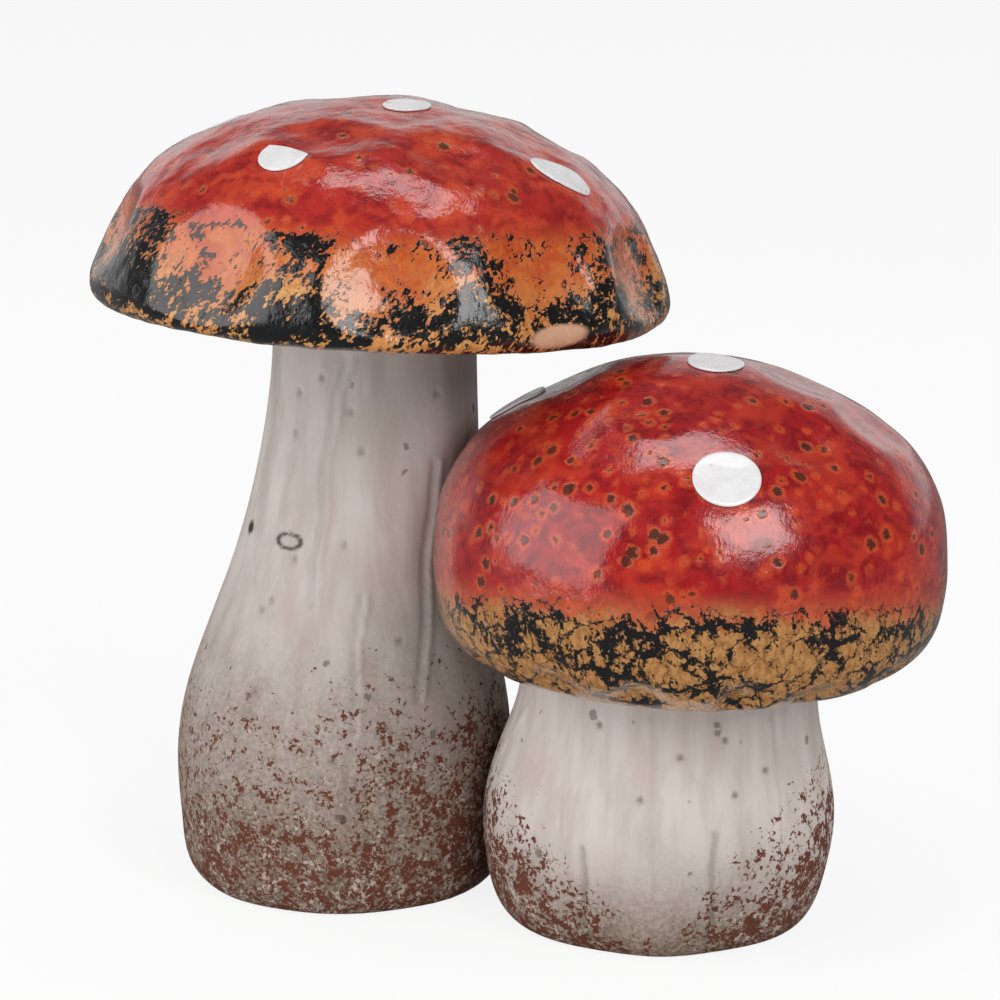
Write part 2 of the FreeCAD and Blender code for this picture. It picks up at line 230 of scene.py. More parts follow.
def castStem(node, name, settings):
    piece = copyOfNode(node, name)
    centres, normals = faceFacts(piece, "center"), faceFacts(piece, "normal")
    top = places(piece)[:, 2].max()
    climb = centres[:, 2:3] / top
    middle = np.array(settings["foot"][:2]) + climb * np.array(settings["lean"])
    outward = ((centres[:, :2] - middle) * normals[:, :2]).sum(1) > 0
    sole = (normals[:, 2] < -flatness) & (centres[:, 2] < endDepth)
    brim = (normals[:, 2] > flatness) & (centres[:, 2] > top - endDepth)
    choose(piece, "FACE", ~(outward | sole | brim))
    bpy.ops.mesh.delete(type="FACE")
    bpy.ops.object.mode_set(mode="OBJECT")
    vent = (-1, edgeDepth, (0, 0, settings["vent"]))
    neck = (top - edgeDepth, 1, (0, 0, -settings["vent"]))
    closeOpenings(piece, [vent, neck])
    reskin(piece, settings["voxel"], settings["smoothing"])
    return piece


tallCapShape = {
    "base": Vector((-30.9, 13.7, 136.0)) * mm, "tilt": 4.5, "tiltTowards": 50.0, "heart": 20 * mm,
    "height": 47.8 * mm, "socket": 9 * mm, "underside": 25 * mm, "voxel": 0.75 * mm, "smoothing": 70,
}
tallCap, tallCapSeat = castCap("tall_cap", "tallCap", tallCapShape)
print("tall cap cast", len(tallCap.data.vertices))

smallCapShape = {
    "base": Vector((39.8, -24.3, 58.6)) * mm, "tilt": 2.5, "tiltTowards": 58.0, "heart": 28 * mm,
    "height": 72.8 * mm, "socket": 9 * mm, "underside": 25 * mm, "voxel": 0.75 * mm, "smoothing": 24,
}
smallCap, smallCapSeat = castCap("small_cap", "smallCap", smallCapShape)
print("small cap cast", len(smallCap.data.vertices))

tallStemShape = {
    "foot": Vector((-39.7, 5.7, 0.0)) * mm, "lean": (8 * mm, 8 * mm), "vent": 12 * mm,
    "voxel": 0.73 * mm, "smoothing": 9,
}
tallStem = castStem("tall_stem", "tallStem", tallStemShape)
print("tall stem cast", len(tallStem.data.vertices))

smallStemShape = {
    "foot": Vector((33.8, -22.4, 0.0)) * mm, "lean": (2.4 * mm, -0.6 * mm), "vent": 12 * mm,
    "voxel": 0.64 * mm, "smoothing": 10,
}
smallStem = castStem("small_stem", "smallStem", smallStemShape)
print("small stem cast", len(smallStem.data.vertices))


# Marks left by the maker's hands and tools
def weigh(piece, seat, low, high):
    # A vertex group that grows from nothing at one height over the base to all at another
    away = places(piece) - np.array(seat.translation)
    rise = away @ np.array(seat.to_3x3() @ Vector((0, 0, 1)))
    group = piece.vertex_groups.new(name="dome")
    steps = 12
    share = np.round(np.clip((rise - low) / (high - low), 0, 1) * steps).astype(int)
    for step in range(1, steps + 1):
        group.add(np.flatnonzero(share == step).tolist(), step / steps, "REPLACE")


def roughen(piece, kind, size, depth, group=""):
    # Cells leave shallow hollows with low ridges between them, and clouds leave soft swells
    texture = bpy.data.textures.new(piece.name + kind.title(), kind)
    texture.noise_scale = size
    finishWith(piece, "DISPLACE", texture=texture, texture_coords="LOCAL", strength=depth,
               mid_level=0.5, vertex_group=group)
    bpy.data.textures.remove(texture)


def pressAlong(piece, lines, depth, reach):
    for line in lines:
        press(piece, lineAlong([skinAt(piece, pixel)[0] for pixel in line]), depth, reach)


capMarks = {
    "hammerSize": 19 * mm, "hammerDepth": 1.1 * mm, "swellSize": 30 * mm, "swellDepth": 1.6 * mm,
    "lumpSize": 11 * mm, "lumpDepth": 0.9 * mm,
    "tallDome": (22 * mm, 32 * mm),
    # Pixel of the picture, depth and reach of each
    "lipNotches": (((735, 700), 1.5 * mm, 4.5 * mm), ((640, 690), 0.8 * mm, 6 * mm),
                   ((560, 668), 0.7 * mm, 5 * mm), ((800, 700), 0.7 * mm, 5 * mm)),
    "lipLumps": (((762, 704), -0.9 * mm, 5 * mm), ((705, 698), -0.8 * mm, 5 * mm),
                 ((600, 684), -0.7 * mm, 6 * mm)),
    "domeHollows": (((600, 450), 0.9 * mm, 17 * mm), ((820, 455), 0.8 * mm, 15 * mm),
                    ((655, 560), 0.6 * mm, 13 * mm), ((868, 560), 0.7 * mm, 15 * mm)),
}
weigh(tallCap, tallCapSeat, *capMarks["tallDome"])
roughen(tallCap, "VORONOI", capMarks["hammerSize"], capMarks["hammerDepth"], "dome")
roughen(tallCap, "CLOUDS", capMarks["swellSize"], capMarks["swellDepth"] / 2)
roughen(tallCap, "CLOUDS", capMarks["lumpSize"], capMarks["lumpDepth"])
roughen(smallCap, "CLOUDS", capMarks["swellSize"], capMarks["swellDepth"])
for pixel, depth, reach in capMarks["lipNotches"] + capMarks["lipLumps"] + capMarks["domeHollows"]:
    press(smallCap, [skinAt(smallCap, pixel)[0]], depth, reach)
print("caps hammered")

tallStemMarks = {
    "ridges": (((354, 362), (342, 392), (339, 420), (328, 470), (329, 515), (320, 560), (318, 605)),
               ((368, 596), (360, 650), (362, 700), (354, 790), (357, 900)),
               ((441, 462), (437, 510), (430, 560), (431, 620), (424, 700)),
               ((300, 640), (292, 700), (285, 760), (287, 820), (282, 870))),
    "ridgeHeight": 0.5 * mm, "ridgeReach": 1.4 * mm,
    "creases": (((347, 362), (335, 392), (332, 420), (321, 470), (322, 515), (313, 560), (311, 605)),
                ((361, 596), (353, 650), (355, 700), (347, 790), (350, 900)),
                ((434, 462), (430, 510), (423, 560), (424, 620), (417, 700))),
    "creaseDepth": 0.4 * mm, "creaseReach": 1.3 * mm,
    "pits": ((322, 378), (300, 392), (296, 432), (352, 412), (438, 394), (362, 452), (345, 545), (272, 600),
             (262, 610), (255, 690), (333, 760), (400, 640), (295, 560)),
    # The dark shares given to pits and creases are painted shade in those hollows
    "pitDepth": 0.7 * mm, "pitReach": 1.6 * mm, "pitHalf": (0.5 * mm, 0.7 * mm), "pitDark": 0.34,
    "creaseDark": 0.1, "patches": (((251, 527), (1.5 * mm, 1.5 * mm)),),
    "rings": (((289, 541), (3.2 * mm, 1.7 * mm)),),
}
smallStemMarks = {
    "ridges": (((532, 700), (505, 745), (487, 790)), ((575, 700), (568, 760), (566, 850)),
               ((650, 722), (648, 800), (648, 900)), ((770, 722), (776, 800), (770, 900))),
    "ridgeHeight": 0.45 * mm, "ridgeReach": 1.4 * mm,
    "creases": (((583, 850), (586, 880), (583, 910), (588, 940)),
                ((716, 835), (711, 870), (713, 905), (708, 938))),
    "creaseDepth": 0.7 * mm, "creaseReach": 1.3 * mm,
    "pits": ((725, 740), (735, 795), (600, 724), (680, 758), (640, 800), (765, 770)),
    # The dark shares given to pits and creases are painted shade in those hollows
    "pitDepth": 0.8 * mm, "pitReach": 1.6 * mm, "pitHalf": (0.5 * mm, 0.5 * mm), "pitDark": 0.6,
    "creaseDark": 0.24, "patches": (), "rings": (),
}


def markStem(piece, marks):
    pressAlong(piece, marks["ridges"], -marks["ridgeHeight"], marks["ridgeReach"])
    pressAlong(piece, marks["creases"], marks["creaseDepth"], marks["creaseReach"])
    for pixel in marks["pits"]:
        press(piece, [skinAt(piece, pixel)[0]], marks["pitDepth"], marks["pitReach"])


markStem(tallStem, tallStemMarks)
markStem(smallStem, smallStemMarks)
print("stems marked")


# Node tools
def addNode(tree, kind, inputs=None, **settings):
    node = tree.nodes.new(kind)
    for name, value in settings.items():
        setattr(node, name, value)
    for name, value in (inputs or {}).items():
        if isinstance(value, bpy.types.NodeSocket):
            tree.links.new(value, node.inputs[name])
        else:
            node.inputs[name].default_value = value
    return node


def calc(tree, operation, first, second=0.0, third=0.0):
    return addNode(tree, "ShaderNodeMath", {0: first, 1: second, 2: third}, operation=operation).outputs[0]


def ramped(tree, value, low, high, start=0.0, end=1.0):
    return addNode(tree, "ShaderNodeMapRange",
                   {"Value": value, "From Min": low, "From Max": high, "To Min": start, "To Max": end},
                   interpolation_type="SMOOTHSTEP").outputs[0]


def blended(tree, share, first, second):
    return addNode(tree, "ShaderNodeMix", {0: share, 6: first, 7: second}, data_type="RGBA").outputs[2]


def noise(tree, vector, scale, detail=4.0, roughness=0.5, distortion=0.0):
    return addNode(tree, "ShaderNodeTexNoise", {
        "Vector": vector, "Scale": scale, "Detail": detail, "Roughness": roughness,
        "Distortion": distortion}).outputs[0]


def stretched(tree, vector, scale, turn=(0, 0, 0)):
    return addNode(tree, "ShaderNodeMapping", {"Vector": vector, "Scale": scale, "Rotation": turn}).outputs[0]


def slanted(tree, vector, size, turn):
    # Draws a pattern out along axes that are turned first
    return addNode(tree, "ShaderNodeMapping", {"Vector": vector, "Scale": size, "Rotation": turn},
                   vector_type="TEXTURE").outputs[0]


def paint(red, green, blue):
    # A colour written as it looks on screen, from 0 to 255
    return tuple(((c / 255 + 0.055) / 1.055) ** 2.4 if c > 10 else c / 255 / 12.92
                 for c in (red, green, blue)) + (1.0,)


def newGroup(name, inputs, outputs):
    group = bpy.data.node_groups.new(name, "ShaderNodeTree")
    for label, kind, value in inputs:
        socket = group.interface.new_socket(label, in_out="INPUT", socket_type=kind)
        if value is not None:
            socket.default_value = value
    for label, kind in outputs:
        group.interface.new_socket(label, in_out="OUTPUT", socket_type=kind)
    return group, group.nodes.new("NodeGroupInput"), group.nodes.new("NodeGroupOutput")


def useGroup(tree, group, inputs):
    node = tree.nodes.new("ShaderNodeGroup")
    node.node_tree = group
    for name, value in inputs.items():
        if isinstance(value, bpy.types.NodeSocket):
            tree.links.new(value, node.inputs[name])
        else:
            node.inputs[name].default_value = value
    return node


def newMaterial(name):
    material = bpy.data.materials.new(name)
    material.use_nodes = True
    tree = material.node_tree
    tree.nodes.clear()
    output = tree.nodes.new("ShaderNodeOutputMaterial")
    shader = tree.nodes.new("ShaderNodeBsdfPrincipled")
    tree.links.new(shader.outputs[0], output.inputs[0])
    coordinates = tree.nodes.new("ShaderNodeTexCoord").outputs["Object"]
    return material, tree, shader, coordinates


def attributeOf(tree, name):
    return addNode(tree, "ShaderNodeAttribute", attribute_name=name).outputs["Fac"]


floatSocket, vectorSocket = "NodeSocketFloat", "NodeSocketVector"


# Pinholes of the kiln: a dark core and a ring where the glaze has thinned
def makeKilnSpots():
    group, given, result = newGroup("kilnSpots", [
        ("Vector", vectorSocket, None), ("Spacing", floatSocket, None), ("Share", floatSocket, None),
    ], [("Core", floatSocket), ("Halo", floatSocket)])
    wobble = noise(group, given.outputs["Vector"], 900.0, 3.0, 0.6)
    lump = calc(group, "MULTIPLY", calc(group, "SUBTRACT", wobble, 0.5), 0.6)
    cells = addNode(group, "ShaderNodeTexVoronoi", {
        "Vector": given.outputs["Vector"], "Scale": given.outputs["Spacing"]}, feature="F1")
    parts = addNode(group, "ShaderNodeSeparateColor", {"Color": cells.outputs["Color"]})
    there = calc(group, "LESS_THAN", parts.outputs[0], given.outputs["Share"])
    radius = ramped(group, parts.outputs[1], 0.0, 1.0, 0.07, 0.38)
    away = calc(group, "ADD", cells.outputs["Distance"], lump)
    core = ramped(group, calc(group, "SUBTRACT", away, radius), -0.1, 0.07, 1.0, 0.0)
    halo = ramped(group, calc(group, "SUBTRACT", away, radius), 0.0, 0.36, 1.0, 0.0)
    group.links.new(calc(group, "MULTIPLY", core, there), result.inputs["Core"])
    group.links.new(calc(group, "MULTIPLY", halo, there), result.inputs["Halo"])
    return group


# Ragged marks of a sponge: amount 0 leaves nothing, 1 covers nearly all
def makeSpongeMarks():
    group, given, result = newGroup("spongeMarks", [
        ("Vector", vectorSocket, None), ("Scale", floatSocket, None), ("Amount", floatSocket, None),
        ("Edge", floatSocket, 0.02),
    ], [("Mask", floatSocket)])
    spot, scale = given.outputs["Vector"], given.outputs["Scale"]
    flakes = noise(group, spot, scale, 4.0, 0.62, 0.5)
    clumps = noise(group, spot, calc(group, "MULTIPLY", scale, 0.28), 3.0, 0.6)
    body = calc(group, "ADD", calc(group, "MULTIPLY", flakes, 0.58), calc(group, "MULTIPLY", clumps, 0.42))
    level = addNode(group, "ShaderNodeMapRange", {
        "Value": given.outputs["Amount"], "To Min": 0.74, "To Max": 0.34}).outputs[0]
    mask = calc(group, "DIVIDE", calc(group, "SUBTRACT", body, level), given.outputs["Edge"])
    limited = addNode(group, "ShaderNodeClamp", {"Value": mask}).outputs[0]
    group.links.new(limited, result.inputs["Mask"])
    return group


# A cracked network: the gaps between islands of glaze
def makeCrackle():
    group, given, result = newGroup("crackle", [
        ("Vector", vectorSocket, None), ("Scale", floatSocket, None), ("Width", floatSocket, None),
    ], [("Mask", floatSocket)])
    shift = addNode(group, "ShaderNodeTexNoise", {
        "Vector": given.outputs["Vector"], "Scale": 420.0, "Detail": 6.0, "Roughness": 0.7})
    away = addNode(group, "ShaderNodeVectorMath", {
        0: shift.outputs["Color"], 1: (0.5, 0.5, 0.5)}, operation="SUBTRACT").outputs[0]
    bent = addNode(group, "ShaderNodeVectorMath", {
        0: away, 1: (0.006, 0.006, 0.006), 2: given.outputs["Vector"]}, operation="MULTIPLY_ADD").outputs[0]
    edges = addNode(group, "ShaderNodeTexVoronoi", {
        "Vector": bent, "Scale": given.outputs["Scale"]}, feature="DISTANCE_TO_EDGE").outputs["Distance"]
    mask = calc(group, "DIVIDE", calc(group, "SUBTRACT", given.outputs["Width"], edges), 0.02)
    limited = addNode(group, "ShaderNodeClamp", {"Value": mask}).outputs[0]
    group.links.new(limited, result.inputs["Mask"])
    return group


# Height of a point above the base of a cap, measured square to that base
def makeRise():
    group, given, result = newGroup("riseOverBase", [
        ("Vector", vectorSocket, None), ("Base", vectorSocket, None), ("Axis", vectorSocket, None),
    ], [("Rise", floatSocket)])
    fromBase = addNode(group, "ShaderNodeVectorMath", {
        0: given.outputs["Vector"], 1: given.outputs["Base"]}, operation="SUBTRACT").outputs[0]
    along = addNode(group, "ShaderNodeVectorMath", {
        0: fromBase, 1: given.outputs["Axis"]}, operation="DOT_PRODUCT").outputs["Value"]
    group.links.new(along, result.inputs["Rise"])
    return group


kilnSpots = makeKilnSpots()
spongeMarks = makeSpongeMarks()
crackle = makeCrackle()
riseOverBase = makeRise()


# How fine the grains of the glaze are, in cells to the metre
glazeGrain = {"broad": 52.0, "patch": 95.0, "middle": 230.0, "fine": 800.0,
              "ripple": 1500.0, "wrinkle": 620.0, "swell": 210.0}


def makeGlaze(name, seat, look):
    material, tree, shader, spot = newMaterial(name)
    axis = seat.to_3x3() @ Vector((0, look["bandTilt"], 1))
    rise = useGroup(tree, riseOverBase, {"Vector": spot, "Base": seat.translation, "Axis": axis}).outputs[0]
    share = calc(tree, "DIVIDE", rise, look["height"])
    broad = noise(tree, spot, glazeGrain["broad"], 3.0, 0.55)
    patch = noise(tree, stretched(tree, spot, (1.0, 1.0, 1.5)), glazeGrain["patch"], 4.0, 0.6, 0.5)
    middle = noise(tree, spot, glazeGrain["middle"], 5.0, 0.62, 0.6)
    fine = noise(tree, stretched(tree, spot, (1.0, 1.0, 0.55), (0.5, 0.5, 0)), glazeGrain["fine"], 4.0, 0.65)
    drift = calc(tree, "MULTIPLY", calc(tree, "SUBTRACT", broad, 0.5), look["drift"])
    ragged = calc(tree, "MULTIPLY", calc(tree, "SUBTRACT", middle, 0.5), look["ragged"])
    level = calc(tree, "ADD", calc(tree, "ADD", share, drift), ragged)
    pressed = attributeOf(tree, "pressed")
    # Red over the dome, orange below it and ochre towards the lip
    reds = blended(tree, ramped(tree, middle, 0.36, 0.62), look["deepRed"], look["red"])
    reds = blended(tree, calc(tree, "MULTIPLY", ramped(tree, patch, 0.46, 0.64), look["patches"]),
                   reds, look["orangeRed"])
    reds = blended(tree, ramped(tree, fine, 0.52, 0.68, 0.0, 0.4), reds, look["deepRed"])
    oranges = blended(tree, ramped(tree, middle, 0.38, 0.62), look["orange"], look["lightOrange"])
    oranges = blended(tree, ramped(tree, fine, 0.5, 0.66, 0.0, 0.45), oranges, look["rust"])
    ochres = blended(tree, ramped(tree, fine, 0.38, 0.6), look["ochre"], look["paleOchre"])
    ochreShift = calc(tree, "MULTIPLY", calc(tree, "SUBTRACT", patch, 0.5), look["ochreDrift"])
    lower = calc(tree, "ADD", level, ochreShift)
    below = blended(tree, ramped(tree, lower, look["ochreTo"], look["orangeFrom"]), ochres, oranges)
    below = blended(tree, calc(tree, "MULTIPLY", pressed, look["pressedOrange"]), below, oranges)
    colour = blended(tree, ramped(tree, level, look["orangeTo"], look["redFrom"]), below, reds)
    # Kiln spots over the dome
    spots = useGroup(tree, kilnSpots, {
        "Vector": spot, "Spacing": look["spotScale"], "Share": look["spotShare"]})
    inDome = ramped(tree, level, look["orangeTo"] - 0.1, look["redFrom"])
    halo = calc(tree, "MULTIPLY", inDome, look["haloStrength"])
    halo = calc(tree, "MULTIPLY", spots.outputs["Halo"], halo)
    colour = blended(tree, halo, colour, look["halo"])
    core = calc(tree, "MULTIPLY", spots.outputs["Core"], calc(tree, "MULTIPLY", inDome, 0.85))
    colour = blended(tree, core, colour, look["core"])
    # Black sponged over the lower band, thick between the pressed places and thin in them
    band = ramped(tree, level, look["blackFade"], look["blackTop"], 1.0, 0.0)
    fromBelt = calc(tree, "ABSOLUTE", calc(tree, "SUBTRACT", share, look["belt"]))
    belt = ramped(tree, fromBelt, 0.0, look["beltWidth"], look["beltAmount"], 0.0)
    uneven = calc(tree, "MULTIPLY", calc(tree, "SUBTRACT", patch, 0.5), look["unevenness"])
    amount = calc(tree, "ADD", calc(tree, "ADD", look["blackAmount"], belt), uneven)
    amount = calc(tree, "SUBTRACT", amount, calc(tree, "MULTIPLY", pressed, look["pressedClear"]))
    strokes = slanted(tree, spot, (0.8, 1.0, 1.6), (0.2, look["strokeTurn"], 0))
    amount = calc(tree, "MULTIPLY", amount, band)
    black = useGroup(tree, spongeMarks, {
        "Vector": strokes, "Scale": look["markScale"], "Amount": amount}).outputs[0]
    if "crackle" in look:
        net = look["crackle"]
        low = ramped(tree, level, net["from"], net["to"], 1.0, 0.0)
        gaps = calc(tree, "MULTIPLY", ramped(tree, patch, 0.35, 0.66, 0.25, 1.5), net["width"])
        cracks = useGroup(tree, crackle, {
            "Vector": spot, "Scale": net["scale"], "Width": calc(tree, "MULTIPLY", low, gaps)}).outputs[0]
        black = calc(tree, "MAXIMUM", black, cracks)
    colour = blended(tree, black, colour, look["black"])
    # A pale peach patch laid over the lip's glaze
    colour = blended(tree, attributeOf(tree, "peachPatch"), colour, look["peachPatch"])
    tree.links.new(colour, shader.inputs["Base Color"])
    # A thick glassy coat with wrinkles and pinholes
    ripple = noise(tree, stretched(tree, spot, (1.0, 1.0, 0.35), (0.3, 0.4, 0)), glazeGrain["ripple"], 2.0)
    wrinkle = noise(tree, spot, glazeGrain["wrinkle"], 3.0, 0.55)
    swell = noise(tree, spot, glazeGrain["swell"], 2.0)
    height = calc(tree, "ADD", calc(tree, "MULTIPLY", ripple, look["ripples"]),
                  calc(tree, "MULTIPLY", wrinkle, look["wrinkles"]))
    height = calc(tree, "ADD", height, swell)
    height = calc(tree, "SUBTRACT", height, calc(tree, "MULTIPLY", spots.outputs["Core"], 0.6))
    height = calc(tree, "ADD", height, calc(tree, "MULTIPLY", black, 0.2))
    bump = addNode(tree, "ShaderNodeBump", {"Height": height, "Strength": 0.55, "Distance": look["relief"]})
    tree.links.new(bump.outputs[0], shader.inputs["Normal"])
    tree.links.new(bump.outputs[0], shader.inputs["Coat Normal"])
    tree.links.new(ramped(tree, fine, 0.3, 0.7, 0.16, 0.3), shader.inputs["Roughness"])
    shader.inputs["Coat Weight"].default_value = 0.8
    shader.inputs["Coat Roughness"].default_value = 0.04
    return material


tallGlazeLook = {
    "height": tallCapShape["height"], "bandTilt": 0.0, "drift": 0.12, "ragged": 0.14,
    "deepRed": paint(132, 22, 24), "red": paint(170, 38, 30), "orangeRed": paint(194, 68, 38), "patches": 0.8,
    "orange": paint(180, 72, 28), "lightOrange": paint(196, 104, 46), "rust": paint(150, 46, 22),
    "ochre": paint(176, 114, 56), "paleOchre": paint(204, 150, 86),
    "halo": paint(200, 88, 38), "haloStrength": 0.55, "core": paint(64, 40, 20),
    "black": paint(16, 14, 14), "peachPatch": paint(196, 150, 122),
    "ochreTo": 0.14, "orangeFrom": 0.42, "ochreDrift": 0.6, "orangeTo": 0.42, "redFrom": 0.55,
    "pressedOrange": 0.7, "pressedClear": 0.34,
    "spotScale": 260.0, "spotShare": 0.24,
    "blackFade": 0.46, "blackTop": 0.55, "blackAmount": 0.73, "markScale": 880.0, "strokeTurn": 0.7,
    "belt": 0.15, "beltWidth": 0.17, "beltAmount": 0.16, "unevenness": 1.2,
    "ripples": 0.4, "wrinkles": 0.9, "relief": 0.22 * mm,
}
smallGlazeLook = {
    "height": smallCapShape["height"], "bandTilt": 0.16, "drift": 0.06, "ragged": 0.1,
    "deepRed": paint(124, 8, 18), "red": paint(160, 22, 24), "orangeRed": paint(186, 54, 32), "patches": 0.7,
    "orange": paint(166, 60, 34), "lightOrange": paint(182, 84, 48), "rust": paint(146, 36, 28),
    "ochre": paint(148, 98, 50), "paleOchre": paint(178, 128, 72),
    "halo": paint(204, 80, 36), "haloStrength": 0.65, "core": paint(40, 26, 18),
    "black": paint(16, 14, 14), "peachPatch": paint(196, 150, 122),
    "ochreTo": 0.19, "orangeFrom": 0.27, "ochreDrift": 0.2, "orangeTo": 0.25, "redFrom": 0.33,
    "pressedOrange": 0.0, "pressedClear": 0.0,
    "spotScale": 250.0, "spotShare": 0.6,
    "blackFade": 0.16, "blackTop": 0.4, "blackAmount": 0.5, "markScale": 1050.0, "strokeTurn": -0.4,
    "belt": 0.2, "beltWidth": 0.1, "beltAmount": 0.07, "unevenness": 0.9,
    "crackle": {"width": 0.1, "scale": 165.0, "from": 0.2, "to": 0.3},
    "ripples": 0.4, "wrinkles": 0.6, "relief": 0.17 * mm,
}


washGrain = {"broad": 38.0, "streaks": 150.0, "fine": 900.0, "pores": 330.0}


def makeWhitewash(name, look):
    material, tree, shader, spot = newMaterial(name)
    parts = addNode(tree, "ShaderNodeSeparateXYZ", {"Vector": spot})
    broad = noise(tree, spot, washGrain["broad"], 3.0)
    streaks = noise(tree, stretched(tree, spot, (1.0, 1.0, 0.14)), washGrain["streaks"], 4.0, 0.6)
    fine = noise(tree, spot, washGrain["fine"], 4.0, 0.7)
    white = blended(tree, ramped(tree, streaks, 0.35, 0.68), look["white"], look["shade"])
    white = blended(tree, ramped(tree, broad, 0.45, 0.7, 0.0, 0.35), white, look["blush"])
    drift = calc(tree, "MULTIPLY", calc(tree, "SUBTRACT", broad, 0.5), look["drift"])
    level = calc(tree, "ADD", parts.outputs["Z"], drift)
    low = ramped(tree, level, look["greyFrom"], look["greyTo"], 1.0, 0.0)
    mixedGrey = blended(tree, ramped(tree, fine, 0.4, 0.62), look["grey"], look["paleGrey"])
    colour = blended(tree, calc(tree, "MULTIPLY", low, 0.95), white, mixedGrey)
    # Specks climb higher at the sides of a foot, or at one side of it
    beside = calc(tree, "SUBTRACT", parts.outputs["X"], look["middle"])
    rise = calc(tree, "MULTIPLY", calc(tree, "ABSOLUTE", beside), look["bothSides"])
    rise = calc(tree, "ADD", rise, calc(tree, "MULTIPLY", beside, look["rightSide"]))
    level = calc(tree, "SUBTRACT", level, rise)
    amount = ramped(tree, level, look["specksNone"], look["specksMost"], 0.0, look["specksAmount"])
    specks = useGroup(tree, spongeMarks, {
        "Vector": spot, "Scale": look["speckScale"], "Amount": amount, "Edge": 0.03}).outputs[0]
    colour = blended(tree, specks, colour, look["terracotta"])
    flecks = useGroup(tree, spongeMarks, {
        "Vector": stretched(tree, spot, (1.1, 0.9, 1.0), (0.7, 0.2, 0.4)), "Scale": look["speckScale"],
        "Amount": calc(tree, "MULTIPLY", amount, look["fleckShare"]), "Edge": 0.04}).outputs[0]
    colour = blended(tree, calc(tree, "MULTIPLY", flecks, 0.8), colour, look["cream"])
    # This darkening holds the mould's scars and painted shade in the creases and pits
    colour = blended(tree, attributeOf(tree, "scarAndShade"), colour, look["scarAndShade"])
    pores = useGroup(tree, kilnSpots, {
        "Vector": spot, "Spacing": washGrain["pores"], "Share": 0.05}).outputs["Core"]
    colour = blended(tree, calc(tree, "MULTIPLY", pores, 0.55), colour, look["scarAndShade"])
    tree.links.new(colour, shader.inputs["Base Color"])
    tree.links.new(ramped(tree, fine, 0.3, 0.7, 0.72, 0.9), shader.inputs["Roughness"])
    grain = calc(tree, "ADD", calc(tree, "MULTIPLY", fine, 0.4), calc(tree, "MULTIPLY", streaks, 0.8))
    grain = calc(tree, "SUBTRACT", grain, calc(tree, "MULTIPLY", pores, 0.9))
    grain = calc(tree, "SUBTRACT", grain, calc(tree, "MULTIPLY", specks, 0.2))
    bump = addNode(tree, "ShaderNodeBump", {"Height": grain, "Strength": 0.5, "Distance": 0.3 * mm})
    tree.links.new(bump.outputs[0], shader.inputs["Normal"])
    shader.inputs["Specular IOR Level"].default_value = 0.25
    return material


whitewashLook = {
    "grey": paint(100, 82, 68), "paleGrey": paint(146, 127, 112), "terracotta": paint(100, 54, 38),
    # The dark colour of the mould's scars, also used for painted shade in creases and pits and for pores
    "cream": paint(188, 176, 165), "fleckShare": 0.7, "scarAndShade": paint(66, 58, 50),
}
tallWashLook = dict(
    whitewashLook, white=paint(196, 188, 184), shade=paint(176, 166, 160), blush=paint(180, 164, 158),
    drift=0.06, greyFrom=0.006, greyTo=0.09,
    specksNone=0.115, specksMost=0.0, specksAmount=0.68, speckScale=1000.0,
    middle=tallStemShape["foot"].x, bothSides=0.1, rightSide=0.25)
smallWashLook = dict(
    whitewashLook, white=paint(204, 195, 190), shade=paint(186, 175, 168), blush=paint(190, 172, 166),
    drift=0.03, greyFrom=0.0, greyTo=0.036,
    specksNone=0.042, specksMost=-0.02, specksAmount=0.72, speckScale=860.0,
    middle=smallStemShape["foot"].x, bothSides=0.9, rightSide=0.05)


slipLook = {"grain": 500.0, "dark": paint(150, 112, 92), "light": paint(190, 160, 142)}


def makeSlip():
    material, tree, shader, spot = newMaterial("firedSlip")
    grain = noise(tree, spot, slipLook["grain"], 5.0, 0.65)
    colour = blended(tree, ramped(tree, grain, 0.35, 0.65), slipLook["dark"], slipLook["light"])
    tree.links.new(colour, shader.inputs["Base Color"])
    tree.links.new(ramped(tree, grain, 0.3, 0.7, 0.7, 0.9), shader.inputs["Roughness"])
    bump = addNode(tree, "ShaderNodeBump", {"Height": grain, "Strength": 0.5, "Distance": 0.3 * mm})
    tree.links.new(bump.outputs[0], shader.inputs["Normal"])
    return material


enamelLook = {
    "clouds": 260.0, "grain": 1500.0, "nicks": 420.0,
    "white": paint(222, 221, 222), "shade": paint(211, 209, 210), "nick": paint(150, 120, 104),
}


def makeEnamel():
    material, tree, shader, spot = newMaterial("whiteEnamel")
    cloud = noise(tree, spot, enamelLook["clouds"], 4.0, 0.6)
    fine = noise(tree, spot, enamelLook["grain"], 3.0, 0.6)
    colour = blended(tree, ramped(tree, cloud, 0.4, 0.7), enamelLook["white"], enamelLook["shade"])
    nicks = useGroup(tree, kilnSpots, {
        "Vector": spot, "Spacing": enamelLook["nicks"], "Share": 0.1}).outputs["Core"]
    colour = blended(tree, calc(tree, "MULTIPLY", nicks, 0.5), colour, enamelLook["nick"])
    tree.links.new(colour, shader.inputs["Base Color"])
    tree.links.new(ramped(tree, fine, 0.3, 0.7, 0.18, 0.32), shader.inputs["Roughness"])
    bump = addNode(tree, "ShaderNodeBump", {"Height": fine, "Strength": 0.2, "Distance": 0.1 * mm})
    tree.links.new(bump.outputs[0], shader.inputs["Normal"])
    shader.inputs["Coat Weight"].default_value = 0.4
    shader.inputs["Coat Roughness"].default_value = 0.06
    return material


def paintAttribute(piece, name, values):
    attribute = piece.data.attributes.new(name, "FLOAT", "POINT")
    attribute.data.foreach_set("value", np.asarray(values, np.float32))


def faded(away, edge, width):
    # 1 well inside an edge and 0 beyond it
    return np.clip((edge - away) / width, 0, 1)


